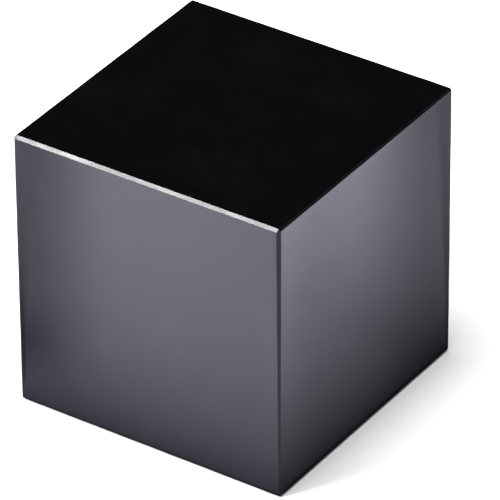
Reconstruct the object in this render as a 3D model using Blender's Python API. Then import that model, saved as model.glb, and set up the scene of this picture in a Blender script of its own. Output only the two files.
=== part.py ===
"""Polished block: a solid cube of black glass, with a mirror polish on all six faces.

Each edge has an arris, the narrow flat that is ground along it by hand, and its width drifts from one end
of the edge to the other. Each corner has a nip, a small facet across the point where three arrises meet.

Metres. X runs to the right, Y to the back and Z up. The origin is the middle of the base.
"""

import itertools
import math

import bmesh
import bpy
from mathutils import Matrix, Vector

# Overall size of the block
WIDTH = 0.050
DEPTH = 0.050
HEIGHT = 0.050

# Width across the flat of each arris, where its edge starts and where it ends. An upright edge starts at
# the base, an edge along X starts at the left and an edge along Y starts at the front.
ARRIS_WIDTHS = {
    ("front", "right"): (0.00032, 0.00078),
    ("front", "left"): (0.00074, 0.00052),
    ("back", "right"): (0.00058, 0.00084),
    ("back", "left"): (0.00066, 0.00060),
    ("top", "front"): (0.00072, 0.00068),
    ("top", "right"): (0.00050, 0.00042),
    ("top", "back"): (0.00076, 0.00070),
    ("top", "left"): (0.00062, 0.00054),
    ("base", "front"): (0.00074, 0.00060),
    ("base", "right"): (0.00050, 0.00056),
    ("base", "back"): (0.00064, 0.00060),
    ("base", "left"): (0.00058, 0.00066),
}

# How far each corner is taken back below the point where its three arrises meet
CORNER_NIP = 0.00010

# Points of a cut nearer to each other than this are one point
CUT_TOLERANCE = 1e-7

# The glass
GLASS_COLOUR = (0.004, 0.005, 0.005, 1.0)
GLASS_ROUGHNESS = 0.02
GLASS_IOR = 1.52

# Which way each face looks, and how far its plane lies from the origin
OUTWARD = {
    "left": Vector((-1, 0, 0)),
    "right": Vector((1, 0, 0)),
    "front": Vector((0, -1, 0)),
    "back": Vector((0, 1, 0)),
    "base": Vector((0, 0, -1)),
    "top": Vector((0, 0, 1)),
}
DISTANCE = {
    "left": WIDTH / 2,
    "right": WIDTH / 2,
    "front": DEPTH / 2,
    "back": DEPTH / 2,
    "base": 0.0,
    "top": HEIGHT,
}
OPPOSITE_FACES = (("left", "right"), ("front", "back"), ("base", "top"))


def clear_scene():
    for obj in list(bpy.data.objects):
        bpy.data.objects.remove(obj)


def sharp_corner(*faces):
    """The point where the planes of three faces would meet if the block had no arrises."""
    return sum((OUTWARD[face] * DISTANCE[face] for face in faces), Vector())


def edge_ends(first, second):
    """The faces at the two ends of the edge between two faces."""
    for pair in OPPOSITE_FACES:
        if first not in pair and second not in pair:
            return pair
    raise ValueError(f"{first} and {second} share no edge")


def arris_plane(first, second):
    """A point on the arris between two faces, and the way that the arris looks."""
    start, end = (sharp_corner(first, second, face) for face in edge_ends(first, second))
    start_inset, end_inset = (width / math.sqrt(2) for width in ARRIS_WIDTHS[first, second])
    on_first = start - OUTWARD[second] * start_inset
    on_second = start - OUTWARD[first] * start_inset
    at_end = end - OUTWARD[first] * end_inset
    normal = (on_second - on_first).cross(at_end - on_first).normalized()
    if normal.dot(OUTWARD[first] + OUTWARD[second]) < 0:
        normal.negate()
    return on_first, normal


def nip_plane(faces, arrises):
    """A point on the nip at the corner of three faces, and the way that the nip looks."""
    planes = [arrises[frozenset(pair)] for pair in itertools.combinations(faces, 2)]
    normals = Matrix([normal for _, normal in planes])
    distances = Vector([point.dot(normal) for point, normal in planes])
    meeting_point = normals.inverted() @ distances
    normal = sum((OUTWARD[face] for face in faces), Vector()).normalized()
    return meeting_point - normal * CORNER_NIP, normal


def grind_flat(mesh, point, normal):
    """Takes away what lies beyond a plane, and closes the block with a flat face there."""
    everything = mesh.verts[:] + mesh.edges[:] + mesh.faces[:]
    cut = bmesh.ops.bisect_plane(
        mesh,
        geom=everything,
        dist=CUT_TOLERANCE,
        plane_co=point,
        plane_no=normal,
        clear_outer=True,
    )
    rim = [item for item in cut["geom_cut"] if isinstance(item, bmesh.types.BMEdge)]
    bmesh.ops.edgeloop_fill(mesh, edges=rim)


def block_mesh():
    mesh = bmesh.new()
    size = Matrix.Diagonal((WIDTH, DEPTH, HEIGHT, 1.0))
    middle = Matrix.Translation((0, 0, HEIGHT / 2))
    bmesh.ops.create_cube(mesh, size=1.0, matrix=middle @ size)
    arrises = {frozenset(faces): arris_plane(*faces) for faces in ARRIS_WIDTHS}
    for point, normal in arrises.values():
        grind_flat(mesh, point, normal)
    for faces in itertools.product(*OPPOSITE_FACES):
        grind_flat(mesh, *nip_plane(faces, arrises))
    bmesh.ops.recalc_face_normals(mesh, faces=mesh.faces)
    return mesh


def black_glass():
    material = bpy.data.materials.new("black_glass")
    material.use_nodes = True
    shader = material.node_tree.nodes["Principled BSDF"]
    shader.inputs["Base Color"].default_value = GLASS_COLOUR
    shader.inputs["Metallic"].default_value = 0.0
    shader.inputs["Roughness"].default_value = GLASS_ROUGHNESS
    shader.inputs["IOR"].default_value = GLASS_IOR
    material.diffuse_color = GLASS_COLOUR
    return material


def polished_block():
    mesh = block_mesh()
    data = bpy.data.meshes.new("polished_block")
    mesh.to_mesh(data)
    mesh.free()
    data.materials.append(black_glass())
    block = bpy.data.objects.new("polished_block", data)
    bpy.context.scene.collection.objects.link(block)
    return block


def main():
    clear_scene()
    polished_block()


main()
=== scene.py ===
"""Finishes the polished block of black glass and sets it on a white table in soft studio light.

The block is lapped: its faces stay flat and turn down a few hundredths of a millimetre towards their
edges, as a polishing pad leaves them. The ground arrises waver in width, every edge is eased, and a few
small flakes are missing along the arrises.

Metres. X runs to the right, Y to the back and Z up. The origin is the middle of the block's base.
"""

import math

import bmesh
import bpy
from bpy.props import FloatProperty, FloatVectorProperty, IntProperty, PointerProperty
from mathutils import Matrix, Vector


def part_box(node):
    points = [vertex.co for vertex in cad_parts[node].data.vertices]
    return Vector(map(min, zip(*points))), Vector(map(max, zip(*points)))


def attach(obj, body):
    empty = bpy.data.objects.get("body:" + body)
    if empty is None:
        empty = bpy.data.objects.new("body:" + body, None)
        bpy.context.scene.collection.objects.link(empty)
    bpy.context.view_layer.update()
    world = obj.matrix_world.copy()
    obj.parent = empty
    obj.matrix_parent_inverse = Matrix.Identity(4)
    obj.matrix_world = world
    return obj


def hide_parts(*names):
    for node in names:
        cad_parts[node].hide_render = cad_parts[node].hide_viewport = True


bl_info = {
    "name": "Polished Glass Block",
    "version": (1, 0, 0),
    "blender": (4, 5, 0),
    "location": "3D View > Sidebar > Glass Block",
    "description": "Laps a block of black glass and sets it in soft studio light",
    "category": "Object",
}

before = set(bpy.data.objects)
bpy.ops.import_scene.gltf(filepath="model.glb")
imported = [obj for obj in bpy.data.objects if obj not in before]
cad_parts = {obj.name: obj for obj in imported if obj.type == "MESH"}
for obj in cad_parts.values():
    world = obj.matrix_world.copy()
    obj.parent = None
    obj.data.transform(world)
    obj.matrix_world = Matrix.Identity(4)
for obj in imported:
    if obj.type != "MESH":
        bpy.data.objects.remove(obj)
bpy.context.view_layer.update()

NODE = "polished_block"
LOW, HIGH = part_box(NODE)
MIDDLE = (LOW + HIGH) / 2
HALF = (HIGH - LOW) / 2
AXES = (Vector((1, 0, 0)), Vector((0, 1, 0)), Vector((0, 0, 1)))
MM = 0.001

# Points nearer than this are one point, and faces that meet at a smaller angle are one flat
WELD = 2e-7
ONE_FLAT = math.radians(0.12)

# A polished face looks along an axis to within this cosine
POLISHED_COSINE = math.cos(math.radians(14))

# An edge sharper than the first angle is eased, and one flatter than the second may be shaded smooth
EASED_ANGLE = math.radians(18)
RIM_ANGLE = math.radians(26)

# A face, an arris or a nip looks along one of these ways to within this cosine, whatever the signs
FLAT_WAYS = [Vector(way).normalized() for way in ((0, 0, 1), (0, 1, 0), (1, 0, 0))]
FLAT_WAYS += [Vector(way).normalized() for way in ((0, 1, 1), (1, 0, 1), (1, 1, 0), (1, 1, 1))]
FLAT_COSINE = math.cos(math.radians(5))

# How far in from the outline the outermost strip of a turned-down edge ends, just past the widest arris
FIRST_STRIP = 0.72 * MM

# A wavering arris is cut this often for each swell, and slants that differ by less than this are one arris
CUTS_PER_SWELL = 8
ONE_SLANT = 0.02

# The second swell of an arris: its height and how often it comes for each first one, and the shifts of both
SECOND_HEIGHT = 0.55
SECOND_RATE = 2.3
FIRST_SHIFT, SECOND_SHIFT = 0.9, 1.7

# A flake scar: its radius for each length of flake, and its rings and lobes as count and height
SCAR_RADIUS = 0.85
RING_COUNT, RING_HEIGHT = 16, 0.012
LOBE_COUNT, LOBE_HEIGHT = 3, 0.03

# How far the table lies below the block's base, so that the two never share a plane
TABLE_DROP = 0.02 * MM

POLISHED, GROUND, BROKEN = range(3)


# Settings


class BlockShape(bpy.types.PropertyGroup):
    """How the polished faces and the ground arrises meet"""

    roll_width: FloatProperty(
        name="Turned-down edge",
        description="How far in from each edge a polished face starts to turn down",
        default=1.35 * MM,
        min=0.9 * MM,
        max=4 * MM,
        subtype="DISTANCE",
        unit="LENGTH",
    )
    upright_slope: FloatProperty(
        name="Slope at the upright arrises",
        description="How steeply a side turns down where it meets an upright arris",
        default=math.radians(2.4),
        min=0.0,
        max=math.radians(6),
        subtype="ANGLE",
        unit="ROTATION",
    )
    level_slope: FloatProperty(
        name="Slope at the level arrises",
        description="How steeply a face turns down where it meets an arris of the top or the base",
        default=math.radians(0.6),
        min=0.0,
        max=math.radians(6),
        subtype="ANGLE",
        unit="ROTATION",
    )
    roll_steps: IntProperty(
        name="Steps of the turned-down edge",
        description="How many strips make the turned-down edge",
        default=5,
        min=2,
        max=12,
    )
    easing: FloatProperty(
        name="Eased edges",
        description="How much is rubbed off where a face meets an arris",
        default=0.045 * MM,
        min=0.005 * MM,
        max=0.08 * MM,
        subtype="DISTANCE",
        unit="LENGTH",
    )
    waver: FloatProperty(
        name="Waver of the arrises",
        description="How far the border of a hand-ground arris strays from a straight line",
        default=0.022 * MM,
        min=0.0,
        max=0.1 * MM,
        subtype="DISTANCE",
        unit="LENGTH",
    )
    waver_pitch: FloatProperty(
        name="Length of the waver",
        description="How far it is from one swell of an arris to the next",
        default=11 * MM,
        min=4 * MM,
        max=40 * MM,
        subtype="DISTANCE",
        unit="LENGTH",
    )


class GlassFinish(bpy.types.PropertyGroup):
    """Colours and roughness of the glass"""

    glass_colour: FloatVectorProperty(
        name="Glass",
        description="Colour of the glass itself",
        default=(0.0009, 0.0011, 0.0012, 1.0),
        size=4,
        min=0.0,
        max=1.0,
        subtype="COLOR",
    )
    film_colour: FloatVectorProperty(
        name="Handling film",
        description="Colour of the faint film that hands and the cleaning cloth leave",
        default=(0.0020, 0.0020, 0.0022, 1.0),
        size=4,
        min=0.0,
        max=1.0,
        subtype="COLOR",
    )
    grit_colour: FloatVectorProperty(
        name="Ground glass",
        description="Colour of the light that the ground arrises scatter",
        default=(0.0080, 0.0080, 0.0090, 1.0),
        size=4,
        min=0.0,
        max=1.0,
        subtype="COLOR",
    )
    polish: FloatProperty(
        name="Roughness of the polish",
        description="Roughness of a clean polished face",
        default=0.018,
        min=0.0,
        max=0.2,
        subtype="FACTOR",
    )
    grind: FloatProperty(
        name="Roughness of the arrises",
        description="Roughness of the ground arrises",
        default=0.40,
        min=0.1,
        max=0.9,
        subtype="FACTOR",
    )
    refraction: FloatProperty(
        name="Refractive index",
        description="Refractive index of the glass, which sets how strongly it mirrors",
        default=1.52,
        min=1.3,
        max=1.9,
    )


class StudioSetup(bpy.types.PropertyGroup):
    """The table and the camera"""

    table_size: FloatProperty(
        name="Table",
        description="Length and width of the white table",
        default=6.0,
        min=0.5,
        max=20.0,
        subtype="DISTANCE",
        unit="LENGTH",
    )
    table_colour: FloatVectorProperty(
        name="Table colour",
        description="Colour of the white table",
        default=(0.90, 0.90, 0.90, 1.0),
        size=4,
        min=0.0,
        max=1.0,
        subtype="COLOR",
    )
    camera_azimuth: FloatProperty(
        name="Camera azimuth",
        description="How far the camera stands round to the right of the block's front",
        default=math.radians(33.915),
        subtype="ANGLE",
        unit="ROTATION",
    )
    camera_elevation: FloatProperty(
        name="Camera elevation",
        description="How far the camera looks down on the block",
        default=math.radians(33.24),
        subtype="ANGLE",
        unit="ROTATION",
    )
    camera_tilt: FloatProperty(
        name="Camera tilt",
        description="How far the camera is turned about its own line of sight",
        default=math.radians(-0.308),
        subtype="ANGLE",
        unit="ROTATION",
    )
    camera_distance: FloatProperty(
        name="Camera distance",
        description="Distance from the camera to the point that it aims at",
        default=0.9785,
        min=0.1,
        subtype="DISTANCE",
        unit="LENGTH",
    )
    camera_lens: FloatProperty(
        name="Focal length",
        description="Focal length of the camera in millimetres, on a sensor 36 mm wide",
        default=442.4,
        min=20.0,
        max=1000.0,
    )
    aim_right: FloatProperty(
        name="Aim to the right",
        description="How far to the right of the block's middle the camera aims",
        default=2.33 * MM,
        subtype="DISTANCE",
        unit="LENGTH",
    )
    aim_up: FloatProperty(
        name="Aim upwards",
        description="How far above the block's middle the camera aims",
        default=-0.935 * MM,
        subtype="DISTANCE",
        unit="LENGTH",
    )


# Shader maths


class Wire:
    """One output of a shader node. Arithmetic on wires adds the Math nodes that work it out."""

    def __init__(self, board, socket):
        self.board = board
        self.socket = socket

    def math(self, operation, *values):
        return self.board.node("ShaderNodeMath", {"operation": operation}, dict(enumerate(values)))

    def __add__(self, other):
        return self.math("ADD", self, other)

    def __sub__(self, other):
        return self.math("SUBTRACT", self, other)

    def __rsub__(self, other):
        return self.math("SUBTRACT", other, self)

    def __mul__(self, other):
        return self.math("MULTIPLY", self, other)

    def __truediv__(self, other):
        return self.math("DIVIDE", self, other)

    def __pow__(self, other):
        return self.math("POWER", self, other)

    def __abs__(self):
        return self.math("ABSOLUTE", self)

    __radd__ = __add__
    __rmul__ = __mul__

    def at_least(self, other):
        return self.math("MAXIMUM", self, other)

    def at_most(self, other):
        return self.math("MINIMUM", self, other)

    def exp(self):
        return self.math("EXPONENT", self)

    def tanh(self):
        return self.math("TANH", self)

    def root(self):
        return self.math("SQRT", self)

    def rise(self, start, end):
        """0 before start, 1 after end and a smooth S between them."""
        settings = {"interpolation_type": "SMOOTHSTEP"}
        values = {"Value": self, "From Min": start, "From Max": end}
        return self.board.node("ShaderNodeMapRange", settings, values)


class NodeBoard:
    """The shader nodes of one material or world."""

    def __init__(self, owner):
        owner.use_nodes = True
        self.owner = owner
        self.tree = owner.node_tree

    def connect(self, socket, value):
        if isinstance(value, Wire):
            self.tree.links.new(value.socket, socket)
        else:
            socket.default_value = value

    def node(self, kind, settings=None, values=None, output=0):
        """Adds a node, sets its settings and then its sockets, and gives back an output if it has any."""
        made = self.tree.nodes.new(kind)
        for name, value in (settings or {}).items():
            setattr(made, name, value)
        for name, value in (values or {}).items():
            self.connect(made.inputs[name], value)
        return Wire(self, made.outputs[output]) if made.outputs else None

    def finish(self, **values):
        """Sets sockets of the material's shader, whose names are given with _ for a space."""
        shader = self.tree.nodes["Principled BSDF"]
        for name, value in values.items():
            self.connect(shader.inputs[name.replace("_", " ")], value)
        return self.owner

    def place(self):
        """Where a point is, in the object's own metres."""
        return self.node("ShaderNodeTexCoord", output="Object")

    def axes_of(self, vector):
        split = self.node("ShaderNodeSeparateXYZ", values={"Vector": vector}).socket.node
        return [Wire(self, output) for output in split.outputs]

    def stretched(self, vector, turn, scale):
        """The vector turned by angles in degrees and then scaled along each axis."""
        angles = [math.radians(angle) for angle in turn]
        turned = self.node("ShaderNodeMapping", values={"Vector": vector, "Rotation": angles})
        return self.node("ShaderNodeMapping", values={"Vector": turned, "Scale": scale})

    def noise(self, vector, size, detail=2.0, roughness=0.5):
        """Cloudy values around 0.5, whose clouds are size metres across."""
        values = {"Vector": vector, "Scale": 1 / size, "Detail": detail, "Roughness": roughness}
        return self.node("ShaderNodeTexNoise", values=values, output="Fac")

    def specks(self, vector, pitch, radius):
        """1 at the middle of round specks that lie about pitch metres apart, and 0 past their radius."""
        values = {"Vector": vector, "Scale": 1 / pitch}
        distance = self.node("ShaderNodeTexVoronoi", values=values, output="Distance")
        return 1 - distance.rise(0.0, radius / pitch)

    def mixed(self, share, first, second):
        """The first colour where share is 0, and the second where it is 1."""
        return self.node("ShaderNodeMix", {"data_type": "RGBA"}, {0: share, 6: first, 7: second}, output=2)

    def bumped(self, height, unit):
        """The normal of a surface that stands proud by height, counted in units of so many metres."""
        return self.node("ShaderNodeBump", values={"Height": height, "Distance": unit}, output="Normal")

    def background(self, colour, strength):
        return self.node("ShaderNodeBackground", values={"Color": colour, "Strength": strength})


# Finishes


MICRON = 1e-6

# How much each mark blurs the polish, and how much of a thin hazy coat it makes
FILM_BLUR, LINE_BLUR, RIM_BLUR, DUST_BLUR = 0.09, 0.03, 0.03, 0.3
FILM_COAT, LINE_COAT = 0.09, 0.05
DUST_COLOUR = (0.22, 0.22, 0.23, 1.0)

# The relief of the polish in microns: the long waves that the pad leaves, the hairlines and the dust
PAD_WAVES, LINE_DEPTH, DUST_HEIGHT = 14.0, 0.5, 1.6


def from_nearest_edge(board, place):
    """How far a point of a face lies from the nearest edge: the middle one of its three insets."""
    axes = zip(HALF, board.axes_of(place), MIDDLE)
    x, y, z = [half - abs(part - middle) for half, part, middle in axes]
    return x.at_least(y).at_most(x.at_least(z)).at_most(y.at_least(z))


def polished_glass(finish):
    """Mirror-polished black glass, with the film, hairlines and dust that handling leaves on it."""
    board = NodeBoard(bpy.data.materials.new("polished_glass"))
    place = board.place()

    clouds = board.noise(place, size=15 * MM, detail=3.0, roughness=0.55).rise(0.50, 0.72)
    wipe_way = board.stretched(place, turn=(20, 35, 50), scale=(1.0, 9.0, 9.0))
    wiped = board.noise(wipe_way, size=24 * MM, detail=4.0, roughness=0.6).rise(0.48, 0.75)
    film = clouds * 0.55 + wiped * 0.45

    line_way = board.stretched(place, turn=(-35, 15, 70), scale=(1.0, 90.0, 90.0))
    hairlines = board.noise(line_way, size=40 * MM, detail=1.0, roughness=0.4).rise(0.66, 0.76)
    cross_way = board.stretched(place, turn=(50, -25, 10), scale=(1.0, 120.0, 120.0))
    cross_lines = board.noise(cross_way, size=50 * MM, detail=1.0, roughness=0.4).rise(0.68, 0.78)
    lines = hairlines + cross_lines * 0.7

    dusty = board.noise(place, size=6 * MM).rise(0.50, 0.62)
    dust = board.specks(place, pitch=3.1 * MM, radius=0.045 * MM) * dusty
    hazy_rim = 1 - from_nearest_edge(board, place).rise(0.4 * MM, 1.6 * MM)

    filmed = board.mixed(film, finish.glass_colour, finish.film_colour)
    blur = film * FILM_BLUR + lines * LINE_BLUR + hazy_rim * RIM_BLUR + dust * DUST_BLUR
    waves = board.noise(place, size=7.5 * MM, detail=2.0, roughness=0.45) + clouds * 0.06
    relief = waves * PAD_WAVES - lines * LINE_DEPTH + dust * DUST_HEIGHT
    return board.finish(
        Base_Color=board.mixed(dust * 0.5, filmed, DUST_COLOUR),
        Roughness=(finish.polish + blur).at_most(0.6),
        IOR=finish.refraction,
        Coat_Weight=film * FILM_COAT + lines * LINE_COAT,
        Coat_Roughness=0.25,
        Coat_IOR=1.5,
        Normal=board.bumped(relief, MICRON),
    )


def ground_glass(finish):
    """The satin of an arris that was ground by hand on a fine wet stone."""
    board = NodeBoard(bpy.data.materials.new("ground_glass"))
    place = board.place()
    grain = board.noise(place, size=0.11 * MM, detail=3.0, roughness=0.6)
    stroke_way = board.stretched(place, turn=(45, 35, 20), scale=(1.0, 1.0, 6.0))
    strokes = board.noise(stroke_way, size=0.9 * MM, detail=3.0, roughness=0.55)
    worn = board.noise(place, size=6.5 * MM, detail=2.0, roughness=0.5).rise(0.35, 0.70)
    pits = board.specks(place, pitch=0.42 * MM, radius=0.05 * MM)
    scatter = grain * 0.5 + strokes * 0.35 + pits * 0.4
    return board.finish(
        Base_Color=board.mixed(scatter.at_most(1.0), finish.glass_colour, finish.grit_colour),
        Roughness=finish.grind + (grain - 0.5) * 0.16 + (strokes - 0.5) * 0.12 - worn * 0.05,
        IOR=finish.refraction,
        Normal=board.bumped(grain + strokes * 0.6 - pits * 1.5, 3 * MICRON),
    )


def broken_glass(finish):
    """The bright shell-like break inside a flake scar, with its fine ripples."""
    board = NodeBoard(bpy.data.materials.new("broken_glass"))
    place = board.place()
    ripple_way = board.stretched(place, turn=(10, 60, 30), scale=(1.0, 7.0, 1.0))
    ripples = board.noise(ripple_way, size=0.25 * MM, detail=2.0, roughness=0.5)
    mist = board.noise(place, size=0.12 * MM, detail=2.0, roughness=0.5).rise(0.45, 0.70)
    return board.finish(
        Base_Color=board.mixed(mist, finish.glass_colour, finish.grit_colour),
        Roughness=mist * 0.20 + 0.12,
        IOR=finish.refraction,
        Normal=board.bumped(ripples, 8 * MICRON),
    )


# The block


def block_from_frame():
    """The block's own solid, with its points joined and each flat made one face."""
    mesh = bmesh.new()
    mesh.from_mesh(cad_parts[NODE].data)
    bmesh.ops.remove_doubles(mesh, verts=mesh.verts, dist=WELD)
    bmesh.ops.dissolve_limit(mesh, angle_limit=ONE_FLAT, verts=mesh.verts, edges=mesh.edges)
    return mesh


def cut_across(mesh, axis, place):
    everything = mesh.verts[:] + mesh.edges[:] + mesh.faces[:]
    bmesh.ops.bisect_plane(mesh, geom=everything, dist=WELD, plane_co=axis * place, plane_no=axis)


def mark_out(mesh, shape):
    """Cuts the faces where they turn down and the arrises where they waver."""
    step = (shape.roll_width - FIRST_STRIP) / (shape.roll_steps - 1)
    insets = [FIRST_STRIP + step * i for i in range(shape.roll_steps)]
    pieces = math.ceil(CUTS_PER_SWELL * max(HALF) * 2 / shape.waver_pitch)
    for axis, low, high in zip(AXES, LOW, HIGH):
        span = high - low - 2 * shape.roll_width
        crossings = [low + shape.roll_width + span * i / pieces for i in range(1, pieces)]
        ends = [low + inset for inset in insets] + [high - inset for inset in insets]
        for place in crossings + ends:
            cut_across(mesh, axis, place)


def is_polished(normal):
    return max(abs(part) for part in normal) > POLISHED_COSINE


def waver_at(place, along, shape):
    """How far the border of an arris strays at a point, from two swells of unequal length."""
    corner = sum((index + 1) * math.copysign(1.0, place[index] - MIDDLE[index]) for index in range(3))
    phase = FIRST_SHIFT * corner
    turn = 2 * math.pi * place[along] / shape.waver_pitch
    second = SECOND_HEIGHT * math.sin(SECOND_RATE * turn + SECOND_SHIFT * phase)
    return shape.waver * (math.sin(turn + phase) + second) / (1 + SECOND_HEIGHT)


def waver_arrises(mesh, shape):
    """Slides the points between a polished face and an arris a little way along the polished face."""
    for vert in mesh.verts:
        flats = [face.normal for face in vert.link_faces if is_polished(face.normal)]
        slants = [face.normal for face in vert.link_faces if not is_polished(face.normal)]
        if not flats or not slants or (slants[0] - slants[-1]).length > ONE_SLANT:
            continue
        flat = flats[0]
        outward = (slants[0] - flat * slants[0].dot(flat)).normalized()
        across = [abs(flat[index]) + abs(outward[index]) for index in range(3)]
        vert.co -= outward * waver_at(vert.co, across.index(min(across)), shape)


def turn_down_edges(mesh, shape):
    """Lowers the polished faces towards their edges, and more towards the upright edges than the others."""
    for vert in mesh.verts:
        offset = vert.co - MIDDLE
        insets = [HALF[index] - abs(offset[index]) for index in range(3)]
        past_start = [max(0.0, shape.roll_width - inset) for inset in insets]
        for index in range(3):
            drop = 0.0
            for other in {0, 1, 2} - {index}:
                slope = shape.level_slope if 2 in (index, other) else shape.upright_slope
                drop += math.tan(slope) * past_start[other]
            on_face = max(0.0, 1 - insets[index] / shape.roll_width)
            vert.co[index] -= math.copysign(drop * on_face, offset[index])


def ease_edges(mesh, shape):
    sharp = [edge for edge in mesh.edges if edge.calc_face_angle(0.0) > EASED_ANGLE]
    bmesh.ops.bevel(
        mesh,
        geom=sharp,
        offset=shape.easing,
        offset_type="OFFSET",
        segments=2,
        profile=0.5,
        affect="EDGES",
        clamp_overlap=True,
        material=-1,
    )


def flake_places():
    """Where small flakes are missing: a point on the block's outline, the way out, length and depth."""
    x, y, _ = HALF
    left, right = Vector((-1, 0, 0)), Vector((1, 0, 0))
    front, back = Vector((0, -1, 0)), Vector((0, 1, 0))
    down, up = Vector((0, 0, -1)), Vector((0, 0, 1))
    above_base = LOW.z
    return (
        (Vector((x - 0.38 * MM, -y, above_base + 6.1 * MM)), Vector((0.22, -1, 0.5)), 0.56 * MM, 0.13 * MM),
        (Vector((x, -y, above_base + 31.5 * MM)), right + front, 0.46 * MM, 0.34 * MM),
        (Vector((-x, -y, above_base + 12.4 * MM)), left + front, 0.52 * MM, 0.43 * MM),
        (Vector((-x, -y, above_base + 37.0 * MM)), left + front, 0.40 * MM, 0.40 * MM),
        (Vector((x, y, above_base + 18.2 * MM)), right + back, 0.56 * MM, 0.47 * MM),
        (Vector((x, y, above_base + 42.1 * MM)), right + back, 0.42 * MM, 0.50 * MM),
        (Vector((-x, y, above_base + 26.0 * MM)), left + back, 0.64 * MM, 0.45 * MM),
        (Vector((-9.2 * MM, y, HIGH.z)), back + up, 0.50 * MM, 0.48 * MM),
        (Vector((13.5 * MM, y, HIGH.z)), back + up, 0.40 * MM, 0.46 * MM),
        (Vector((-x, 5.0 * MM, HIGH.z)), left + up, 0.46 * MM, 0.41 * MM),
        (Vector((16.3 * MM, -y, LOW.z)), front + down, 0.66 * MM, 0.46 * MM),
        (Vector((-11.7 * MM, -y, LOW.z)), front + down, 0.56 * MM, 0.49 * MM),
        (Vector((x, 3.4 * MM, LOW.z)), right + down, 0.60 * MM, 0.40 * MM),
        (Vector((-x, -14.0 * MM, LOW.z)), left + down, 0.62 * MM, 0.45 * MM),
        (Vector((7.7 * MM, y, LOW.z)), back + down, 0.70 * MM, 0.46 * MM),
    )


def flake_cutter(place, outward, length, depth, number):
    """A rippled round lump whose inner side is the scar that a flake leaves."""
    outward = outward.normalized()
    lump = bmesh.new()
    bmesh.ops.create_icosphere(lump, subdivisions=4, radius=1.0)
    radius = length * SCAR_RADIUS
    for vert in lump.verts:
        way = vert.co.normalized()
        from_middle = math.acos(max(-1.0, min(1.0, -way.dot(outward))))
        rings = RING_HEIGHT * math.sin(RING_COUNT * from_middle + number)
        lobes = LOBE_HEIGHT * math.sin(LOBE_COUNT * math.atan2(way.y, way.x) + 2 * number)
        vert.co = place + outward * (radius - depth) + way * radius * (1 + rings + lobes)
    return lump


def all_flakes(finishes):
    """The lumps of all the flakes as one object, with the scars' finish."""
    joined = bmesh.new()
    for number, flake in enumerate(flake_places()):
        lump = flake_cutter(*flake, number)
        one = bpy.data.meshes.new("flake")
        lump.to_mesh(one)
        lump.free()
        joined.from_mesh(one)
        bpy.data.meshes.remove(one)
    for face in joined.faces:
        face.material_index = BROKEN
        face.smooth = True
    lumps = bpy.data.meshes.new("flakes")
    joined.to_mesh(lumps)
    joined.free()
    for material in finishes:
        lumps.materials.append(material)
    cutter = bpy.data.objects.new("flakes", lumps)
    bpy.context.scene.collection.objects.link(cutter)
    return cutter


def in_fixed_order(cut):
    """The same mesh with its points and faces in a fixed order, because the Boolean's own order varies."""
    places = [tuple(vert.co) for vert in cut.vertices]
    order = sorted(range(len(places)), key=places.__getitem__)
    rank = {old: new for new, old in enumerate(order)}
    faces = []
    for face in cut.polygons:
        ring = [rank[index] for index in face.vertices]
        start = ring.index(min(ring))
        faces.append((ring[start:] + ring[:start], face.material_index))
    faces.sort()
    ordered = bpy.data.meshes.new("lapped_block")
    ordered.from_pydata([places[index] for index in order], [], [ring for ring, _ in faces])
    for face, (_, finish_index) in zip(ordered.polygons, faces):
        face.material_index = finish_index
    for material in cut.materials:
        ordered.materials.append(material)
    return ordered


def chip_off(block, finishes):
    """Takes the flakes off the block with one Boolean, and leaves their scars in broken glass."""
    cutter = all_flakes(finishes)
    modifier = block.modifiers.new("flakes", "BOOLEAN")
    modifier.operation = "DIFFERENCE"
    modifier.solver = "EXACT"
    modifier.material_mode = "INDEX"
    modifier.object = cutter
    graph = bpy.context.evaluated_depsgraph_get()
    cut = bpy.data.meshes.new_from_object(block.evaluated_get(graph), depsgraph=graph)
    block.modifiers.remove(modifier)
    block.data = in_fixed_order(cut)
    bpy.data.objects.remove(cutter)


def is_eased(face):
    """Whether a face is a strip of an eased edge, and neither a face, an arris, a nip nor a scar."""
    upright = Vector([abs(part) for part in face.normal])
    return face.material_index != BROKEN and all(upright.dot(way) < FLAT_COSINE for way in FLAT_WAYS)


def shade(block):
    """Smooth inside the scars and round the eased edges, and true to each flat elsewhere."""
    block.data.shade_smooth()
    mesh = bmesh.new()
    mesh.from_mesh(block.data)
    for edge in mesh.edges:
        in_scar = all(face.material_index == BROKEN for face in edge.link_faces)
        in_round = all(is_eased(face) for face in edge.link_faces)
        edge.smooth = (in_scar or in_round) and edge.calc_face_angle(0.0) < RIM_ANGLE
    mesh.to_mesh(block.data)
    mesh.free()


def lapped_block(shape, finish):
    mesh = block_from_frame()
    mark_out(mesh, shape)
    mesh.normal_update()
    waver_arrises(mesh, shape)
    turn_down_edges(mesh, shape)
    mesh.normal_update()
    bmesh.ops.dissolve_limit(mesh, angle_limit=ONE_FLAT, verts=mesh.verts, edges=mesh.edges)
    ease_edges(mesh, shape)
    mesh.normal_update()
    for face in mesh.faces:
        face.material_index = POLISHED if is_polished(face.normal) else GROUND
    bmesh.ops.triangulate(mesh, faces=mesh.faces)
    data = bpy.data.meshes.new("lapped_block")
    mesh.to_mesh(data)
    mesh.free()
    finishes = (polished_glass(finish), ground_glass(finish), broken_glass(finish))
    for material in finishes:
        data.materials.append(material)
    block = bpy.data.objects.new("lapped_block", data)
    bpy.context.scene.collection.objects.link(block)
    chip_off(block, finishes)
    shade(block)
    return block


# The studio


# How much darker the hollows of the paper are, and how strongly its tooth and its patches show
HOLLOW_SHADE = 0.72
TOOTH_SHARE, PATCH_SHARE = 0.30, 0.08


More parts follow.
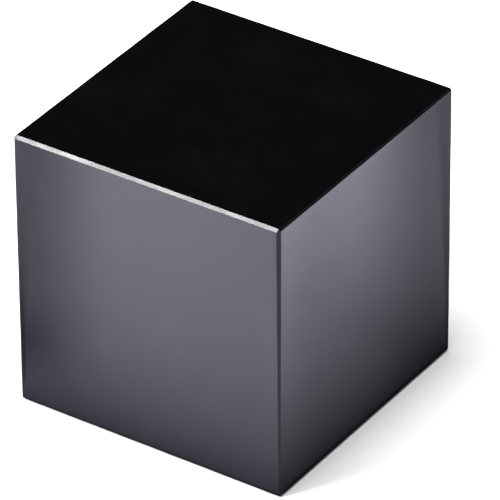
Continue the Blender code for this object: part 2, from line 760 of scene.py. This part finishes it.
def table_paper(studio):
    """White paper with a fine tooth, which shows only in the shade beside the block."""
    board = NodeBoard(bpy.data.materials.new("table_paper"))
    place = board.place()
    tooth = board.noise(place, size=0.45 * MM, detail=2.0, roughness=0.6)
    patches = board.noise(place, size=9 * MM, detail=2.0, roughness=0.5)
    hollows = (0.5 - tooth) * TOOTH_SHARE + (0.5 - patches) * PATCH_SHARE
    darker = tuple(part * HOLLOW_SHADE for part in studio.table_colour[:3]) + (1.0,)
    return board.finish(
        Base_Color=board.mixed(hollows.at_least(0.0), studio.table_colour, darker),
        Roughness=0.9,
        Specular_IOR_Level=0.1,
    )


# Painted reflection of the table in the block's faces, with painted shade. All lengths below are in
# millimetres.

# On the lit side, in front and to the left, the painted reflection starts at LIT_START beside the block and
# brightens by
# LIT_GAIN over about LIT_REACH. The other three say the same of its painted shaded side, to the right and
# behind.
LIT_START, LIT_GAIN, LIT_REACH = 0.55, 3.2, 28
SHADED_START, SHADED_GAIN, SHADED_REACH = 0.085, 3.3, 70

# Two wedges of painted shade lie past the front left and the back right corner. Each dims the painted
# reflection along a slant that goes this far sideways for every millimetre away from the block.
LEFT_SLANT, BACK_SLANT = 0.672, 1.486

# Each wedge of painted shade makes a wide soft dip and a narrow core. At the back right corner the dip
# gains and the core loses depth with the distance from the right face.
LEFT_DIP, LEFT_CORE = 0.56, 0.40
BACK_DIP, BACK_DIP_GAIN, BACK_DIP_MOST = 0.30, 0.008, 0.66
BACK_CORE, BACK_CORE_LOSS = 0.50, 0.007
CORE_START, CORE_END = -0.05, 0.015

# A third patch of painted shade dims the left side, and a painted level evens out the reflection straight
# ahead of the front right arris
SIDE_PAINTED_SHADE = 0.7
AHEAD_X, AHEAD_Y = 0.83, 0.56
AHEAD_BRIGHTNESS = 0.9

# Towards the front right arris the painted lit side dims by the first share, and the painted shaded side
# gains the second
FRONT_LOSS, RIGHT_GAIN = 0.14, 0.14

# The tint of the painted reflection: dim and bright on its lit side, and on its shaded side
LIT_DIM_TINT = (0.92, 0.893, 1.187, 1)
LIT_BRIGHT_TINT = (0.966, 0.916, 1.118, 1)
SHADED_TINT = (0.956, 0.921, 1.123, 1)
BRIGHT, BRIGHTEST = 3.0, 4.0
BLACK = (0, 0, 0, 1)


def lit_brightness(x, half_width, to_front, to_left, nearby):
    """How bright the painted reflection of the table is in front and to the left of the block, with its
    painted shade.
    """
    away = (to_front**2.0 + to_left**2.0).root()
    lit = LIT_START + LIT_GAIN * (1 - (away * (-1 / LIT_REACH)).exp())
    past_corner = (x + half_width) + to_front * LEFT_SLANT
    dip = (1 - past_corner.rise(-1.0, 19.0)) * past_corner.rise(-60.0, -16.0) * to_front.rise(0.0, 16.0)
    core = 1 - ((past_corner - 0.3) / (to_front + 4)).rise(CORE_START, CORE_END)
    core = core * (1 - to_front.rise(10.0, 62.0)) * past_corner.rise(-34.0, -10.0)
    side = to_left.rise(0.0, 12.0) * (1 - to_left.rise(60.0, 130.0)) * (1 - to_front.rise(0.0, 30.0))
    by_right = past_corner.rise(25.0, 60.0)
    lit = lit * (1 - dip * nearby * LEFT_DIP) * (1 - core * nearby * LEFT_CORE)
    return lit * (1 - by_right * FRONT_LOSS) * (1 - side * SIDE_PAINTED_SHADE)


def shaded_brightness(y, half_depth, to_right, to_back, nearby):
    """How bright the painted reflection is to the right of and behind the block, painted as its shadow
    side.
    """
    away = to_right + to_back * 0.3
    shaded = SHADED_START + SHADED_GAIN * (away * (1 / SHADED_REACH)).tanh()
    past_corner = half_depth - y + to_right * BACK_SLANT
    dip = (1 - past_corner.rise(0.0, 30.0)) * past_corner.rise(-90.0, -30.0)
    dip = dip * (to_right * BACK_DIP_GAIN + BACK_DIP).at_most(BACK_DIP_MOST)
    core = 1 - ((past_corner - 0.6) / (to_right + 4)).rise(CORE_START, CORE_END)
    core = core * (BACK_CORE - to_right * BACK_CORE_LOSS).at_least(0.0) * past_corner.rise(-50.0, -16.0)
    by_front = past_corner.rise(37.0, 50.0)
    return shaded * (1 - dip * nearby) * (1 - core * nearby) * (1 + by_front * nearby * RIGHT_GAIN)


def painted_table_reflection():
    """The painted reflection of the table in the block's faces: painted shade beside the block, bright
    further out.
    """
    board = NodeBoard(bpy.data.materials.new("painted_table_reflection"))
    x, y, _ = board.axes_of(board.place())
    x, y = x / MM, y / MM
    half_width, half_depth = HALF.x / MM, HALF.y / MM
    to_right = (x - half_width).at_least(0.0)
    to_left = (-half_width - x).at_least(0.0)
    to_front = (-half_depth - y).at_least(0.0)
    to_back = (y - half_depth).at_least(0.0)
    nearby = 1 - (x**2.0 + y**2.0).root().rise(150.0, 420.0)

    lit = lit_brightness(x, half_width, to_front, to_left, nearby)
    shaded = shaded_brightness(y, half_depth, to_right, to_back, nearby)
    side = (x + y).rise(-6.0, 6.0)
    bright = lit + (shaded - lit) * side

    # Straight ahead of the front right arris the painted reflection is set to an even painted brightness
    ahead = ((x - half_width) * AHEAD_X - (y + half_depth) * AHEAD_Y).at_least(0.01)
    aside = abs((x - half_width) * AHEAD_Y + (y + half_depth) * AHEAD_X)
    painted_level_share = (1 - (aside / ahead).rise(0.55, 1.05)) * ahead.rise(0.0, 16.0)
    bright = bright + (AHEAD_BRIGHTNESS - bright) * painted_level_share * nearby

    # Painted contact shade: the reflection turns black beside and under the block's base
    clear_of_block = (to_front.at_least(to_right)).at_least(to_left.at_least(to_back))
    bright = bright * (0.03 + 0.97 * clear_of_block.rise(0.0, 1.3))

    lit_tint = board.mixed((bright / BRIGHT).at_most(1.0), LIT_DIM_TINT, LIT_BRIGHT_TINT)
    tint = board.mixed(side, lit_tint, SHADED_TINT)
    return board.finish(
        Base_Color=BLACK,
        Specular_IOR_Level=0.0,
        Emission_Color=board.mixed((bright / BRIGHTEST).at_most(1.0), BLACK, tint),
        Emission_Strength=BRIGHTEST,
    )


def flat_sheet(name, size, height, material):
    mesh = bmesh.new()
    bmesh.ops.create_grid(mesh, x_segments=1, y_segments=1, size=size / 2)
    bmesh.ops.translate(mesh, verts=mesh.verts, vec=(0, 0, height))
    data = bpy.data.meshes.new(name)
    mesh.to_mesh(data)
    mesh.free()
    data.materials.append(material)
    sheet = bpy.data.objects.new(name, data)
    bpy.context.scene.collection.objects.link(sheet)
    return sheet


def lay_table(studio):
    """The table, and a glowing sheet with a painted reflection of the table that stands for it in the
    block's mirror faces.
    """
    table = flat_sheet("table", studio.table_size, -TABLE_DROP, table_paper(studio))
    table.visible_glossy = False
    # A glowing sheet, seen only in the block's mirror faces, with a painted reflection of the table and
    # painted shade beside the block
    mirrored = flat_sheet("painted_table_reflection", studio.table_size, -TABLE_DROP, painted_table_reflection())
    mirrored.visible_camera = False
    mirrored.visible_diffuse = False
    mirrored.visible_shadow = False
    mirrored.visible_transmission = False
    mirrored.visible_volume_scatter = False


def soft_light(name, direction, strength, spread, colour):
    """A round soft light far away, so that the table is lit evenly right out to where it ends."""
    light = bpy.data.lights.new(name, "SUN")
    light.energy = strength
    light.angle = math.radians(spread)
    light.color = colour
    lamp = bpy.data.objects.new(name, light)
    bpy.context.scene.collection.objects.link(lamp)
    way = Vector(direction).normalized()
    lamp.location = MIDDLE + way
    lamp.rotation_mode = "QUATERNION"
    lamp.rotation_quaternion = (-way).to_track_quat("-Z", "Y")
    return lamp


def light_studio():
    """A key light from the front left, and a softer one overhead that the block doesn't mirror."""
    soft_light(
        "key_light",
        direction=(-0.446, -0.574, 0.687),
        strength=4.7,
        spread=16.0,
        colour=(0.99, 0.985, 1.0),
    )
    overhead = soft_light(
        "overhead_light",
        direction=(-0.01, -0.075, 1.0),
        strength=2.97,
        spread=22.0,
        colour=(1.0, 1.0, 0.99),
    )
    overhead.visible_glossy = False


def hang_backdrop():
    """A white room to look at, a dark one in the block's mirror faces, and a soft glow as light."""
    world = bpy.data.worlds.new("studio")
    bpy.context.scene.world = world
    board = NodeBoard(world)
    board.tree.nodes.clear()
    seen = board.background(colour=(1.0, 1.0, 1.0, 1.0), strength=1.1)
    mirrored = board.background(colour=(0.9, 0.95, 1.0, 1.0), strength=0.02)
    given = board.background(colour=(0.95, 0.97, 1.0, 1.0), strength=0.33)
    by_gloss = board.node("ShaderNodeLightPath", output="Is Glossy Ray")
    by_camera = board.node("ShaderNodeLightPath", output="Is Camera Ray")
    unseen = board.node("ShaderNodeMixShader", values={0: by_gloss, 1: given, 2: mirrored})
    room = board.node("ShaderNodeMixShader", values={0: by_camera, 1: unseen, 2: seen})
    board.node("ShaderNodeOutputWorld", values={"Surface": room})


def set_camera(studio):
    around, above = studio.camera_azimuth, studio.camera_elevation
    back = Vector(
        (math.sin(around) * math.cos(above), -math.cos(around) * math.cos(above), math.sin(above))
    )
    right = Vector((math.cos(around), math.sin(around), 0))
    up = back.cross(right)
    aim = MIDDLE + right * studio.aim_right + up * studio.aim_up
    data = bpy.data.cameras.new("camera")
    data.lens = studio.camera_lens
    data.sensor_width = 36.0
    camera = bpy.data.objects.new("camera", data)
    bpy.context.scene.collection.objects.link(camera)
    turned = Matrix.Rotation(studio.camera_tilt, 3, back)
    pose = Matrix((turned @ right, turned @ up, back)).transposed().to_4x4()
    pose.translation = aim + back * studio.camera_distance
    camera.matrix_world = pose
    bpy.context.scene.camera = camera


# Operators and panel


class BLOCK_OT_lapped_block(bpy.types.Operator):
    """Lap the block, ease its edges and give it its glass finishes"""

    bl_idname = "block.lapped_block"
    bl_label = "Lapped block"

    def execute(self, context):
        piece = lapped_block(context.scene.block_shape, context.scene.glass_finish)
        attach(piece, "root")
        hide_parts(NODE)
        return {"FINISHED"}


class BLOCK_OT_studio(bpy.types.Operator):
    """Lay the white table, set up the lights and the backdrop, and place the camera"""

    bl_idname = "block.studio"
    bl_label = "Studio"

    def execute(self, context):
        studio = context.scene.studio_setup
        lay_table(studio)
        light_studio()
        hang_backdrop()
        set_camera(studio)
        context.scene.view_settings.view_transform = "Standard"
        return {"FINISHED"}


class BLOCK_PT_sidebar(bpy.types.Panel):
    """The settings and the steps that make the block and its studio"""

    bl_label = "Glass Block"
    bl_idname = "BLOCK_PT_sidebar"
    bl_space_type = "VIEW_3D"
    bl_region_type = "UI"
    bl_category = "Glass Block"

    def draw(self, context):
        for operator, group in (
            (BLOCK_OT_lapped_block, context.scene.block_shape),
            (None, context.scene.glass_finish),
            (BLOCK_OT_studio, context.scene.studio_setup),
        ):
            for name in group.__annotations__:
                self.layout.prop(group, name)
            if operator:
                self.layout.operator(operator.bl_idname)


CLASSES = (
    BlockShape,
    GlassFinish,
    StudioSetup,
    BLOCK_OT_lapped_block,
    BLOCK_OT_studio,
    BLOCK_PT_sidebar,
)


def register():
    for made in CLASSES:
        bpy.utils.register_class(made)
    bpy.types.Scene.block_shape = PointerProperty(type=BlockShape)
    bpy.types.Scene.glass_finish = PointerProperty(type=GlassFinish)
    bpy.types.Scene.studio_setup = PointerProperty(type=StudioSetup)


def unregister():
    del bpy.types.Scene.studio_setup
    del bpy.types.Scene.glass_finish
    del bpy.types.Scene.block_shape
    for made in reversed(CLASSES):
        bpy.utils.unregister_class(made)


def main():
    register()
    bpy.ops.block.lapped_block()
    bpy.ops.block.studio()


if __name__ == "__main__":
    main()
